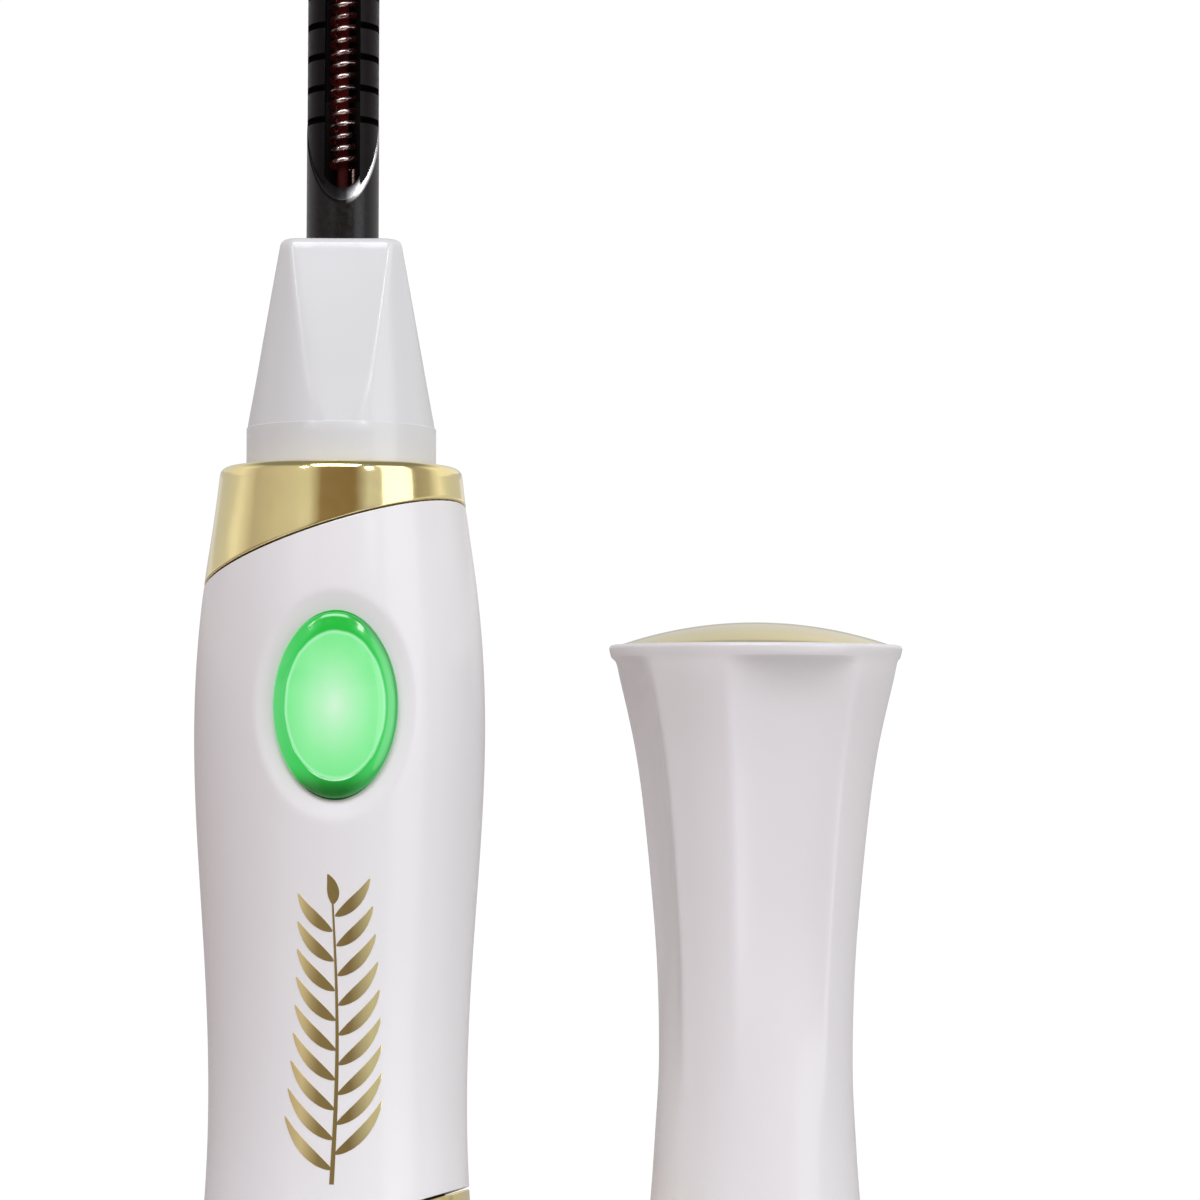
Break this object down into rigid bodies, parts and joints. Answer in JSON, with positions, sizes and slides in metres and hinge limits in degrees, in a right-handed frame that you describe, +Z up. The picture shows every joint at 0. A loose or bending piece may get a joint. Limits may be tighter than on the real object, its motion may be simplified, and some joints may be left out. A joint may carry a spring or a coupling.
{
  "type": "heated eyelash curler",
  "caption": "Pen-shaped battery eyelash curler with a comb-guarded heating coil, lit oval button, faceted neck, gold slanted trims, and its flared fluted cap standing beside it.",
  "frame": {"origin": "centre of the flat underside of the wand's gold base, on the surface it stands on", "axes": "+Z up along the wand to its heated tip, -Y the front with the button, +X towards the cap"},
  "size_m": [0.0535, 0.0223, 0.114],
  "materials": {
    "white_plastic": "glossy white moulded ABS",
    "gold_plating": "vacuum-metallised pale gold, mirror gloss, on moulded ABS",
    "black_plastic": "semi-gloss black heat-resistant moulding",
    "grey_plastic": "plain grey moulding",
    "insulator": "natural heat-resistant moulding",
    "ceramic_core": "dark red-brown fired ceramic",
    "heater_wire": "heat-tinted resistance wire",
    "plated_steel": "nickel-plated",
    "rubber": "soft black seal",
    "green_lens": "clear green tinted moulding, lit from behind",
    "light_diffuser": "milky light-spreading moulding",
    "board": "green solder-masked laminate",
    "cell_wrap": "plain slate-blue foil wrap with a pale grey band",
    "wire_red": "red wire insulation",
    "wire_black": "black wire insulation"
  },
  "bodies": {
    "base": {"base_shell": "gold_plating", "base_plug": "grey_plastic", "base_o_ring": "rubber", "negative_contact": "plated_steel", "negative_spring": "plated_steel"},
    "battery": {"battery_cell": "cell_wrap", "battery_positive_cap": "plated_steel"},
    "handle": {"handle_sleeve": "white_plastic", "collar_ring": "gold_plating", "chassis": "insulator", "negative_rail": "plated_steel", "positive_contact": "plated_steel", "circuit_board": "board", "board_screw_1": "plated_steel", "board_screw_2": "plated_steel", "control_chip": "black_plastic", "boost_inductor": "grey_plastic", "capacitor": "insulator", "led_upper": "light_diffuser", "led_lower": "light_diffuser", "switch_housing": "black_plastic", "neck_cone": "white_plastic", "heater_bush": "insulator", "heater_lead_live": "wire_red", "heater_lead_return": "wire_black", "barrel_sleeve": "black_plastic", "comb_frame": "black_plastic", "heater_core": "ceramic_core", "heating_coil": "heater_wire", "coil_return_wire": "plated_steel", "temperature_sensor": "insulator", "tip_cap": "black_plastic"},
    "power_button": {"button_lens": "green_lens", "button_diffuser": "light_diffuser"},
    "switch_plunger": {"switch_plunger": "grey_plastic"},
    "cap": {"cap_shell": "white_plastic", "cap_liner": "insulator", "cap_dome": "gold_plating"}
  },
  "joints": [
    {"name": "handle_pull", "type": "slide", "parent": "base", "child": "handle", "axis": [0, 0, 1], "range_m": [0, 0.088]},
    {"name": "battery_lift", "type": "slide", "parent": "base", "child": "battery", "axis": [0, 0, 1], "range_m": [0, 0.0396]},
    {"name": "button_press", "type": "slide", "parent": "handle", "child": "power_button", "axis": [0, 1, 0], "range_m": [0, 0.0005], "stiffness_N_per_m": 400, "springref_m": -0.002},
    {"name": "switch_travel", "type": "slide", "parent": "handle", "child": "switch_plunger", "axis": [0, 1, 0], "range_m": [0, 0.0005]},
    {"name": "cap_lift", "type": "slide", "parent": "base", "child": "cap", "axis": [0, 0, 1], "range_m": [0, 0.12]}
  ],
  "couplings": [
    {"joint": "battery_lift", "follows": "handle_pull", "ratio": 0.45},
    {"joint": "switch_travel", "follows": "button_press", "ratio": 1}
  ]
}
